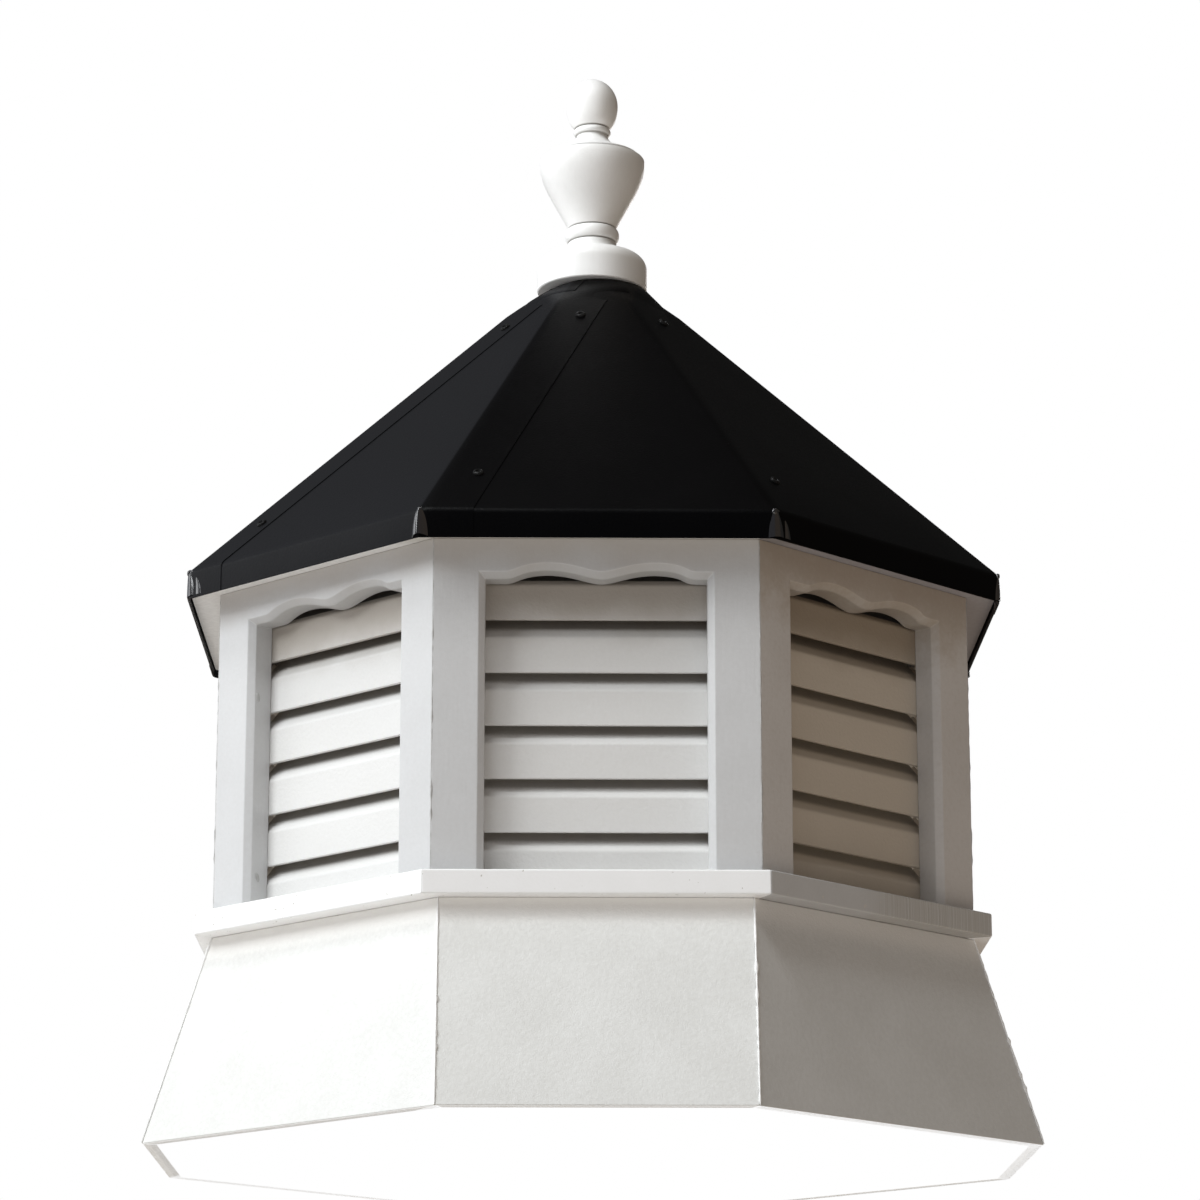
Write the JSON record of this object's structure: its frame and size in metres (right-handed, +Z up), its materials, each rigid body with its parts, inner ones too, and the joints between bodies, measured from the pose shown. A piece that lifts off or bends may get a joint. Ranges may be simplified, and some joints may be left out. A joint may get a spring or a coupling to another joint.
{
  "type": "roof cupola",
  "caption": "Eight-sided garage roof cupola: flared skirt, mitred sill, louvred walls under scalloped heads, folded dark metal roof and turned finial.",
  "frame": {"origin": "middle of the level resting edge of the skirt, on the axis of the cupola", "axes": "+Z up along the axis to the finial's ball; -Y out of the front wall; +X to the right seen from the front"},
  "size_m": [0.715, 0.715, 0.9485],
  "materials": {
    "wall_paint": "satin white paint on trim board",
    "louver_paint": "satin white paint",
    "sill_paint": "satin white paint on trim board",
    "skirt_sheet": "textured white coating",
    "soffit_paint": "satin white paint on trim board",
    "roof_metal": "satin black coated sheet",
    "deck_wood": "bare sheathing plywood",
    "finial_paint": "satin white paint"
  },
  "bodies": {
    "root": {"skirt_panel_front": "skirt_sheet", "skirt_panel_front_right": "skirt_sheet", "skirt_panel_right": "skirt_sheet", "skirt_panel_back_right": "skirt_sheet", "skirt_panel_back": "skirt_sheet", "skirt_panel_back_left": "skirt_sheet", "skirt_panel_left": "skirt_sheet", "skirt_panel_front_left": "skirt_sheet", "sill_board_front": "sill_paint", "sill_board_front_right": "sill_paint", "sill_board_right": "sill_paint", "sill_board_back_right": "sill_paint", "sill_board_back": "sill_paint", "sill_board_back_left": "sill_paint", "sill_board_left": "sill_paint", "sill_board_front_left": "sill_paint", "wall_panel_front": "wall_paint", "wall_panel_front_right": "wall_paint", "wall_panel_right": "wall_paint", "wall_panel_back_right": "wall_paint", "wall_panel_back": "wall_paint", "wall_panel_back_left": "wall_paint", "wall_panel_left": "wall_paint", "wall_panel_front_left": "wall_paint", "louver_set_front": "louver_paint", "louver_set_front_right": "louver_paint", "louver_set_right": "louver_paint", "louver_set_back_right": "louver_paint", "louver_set_back": "louver_paint", "louver_set_back_left": "louver_paint", "louver_set_left": "louver_paint", "louver_set_front_left": "louver_paint", "roof_panel_front": "roof_metal", "roof_panel_front_right": "roof_metal", "roof_panel_right": "roof_metal", "roof_panel_back_right": "roof_metal", "roof_panel_back": "roof_metal", "roof_panel_back_left": "roof_metal", "roof_panel_left": "roof_metal", "roof_panel_front_left": "roof_metal", "soffit": "soffit_paint", "roof_deck": "deck_wood", "finial_base": "finial_paint", "finial": "finial_paint"}
  },
  "joints": []
}
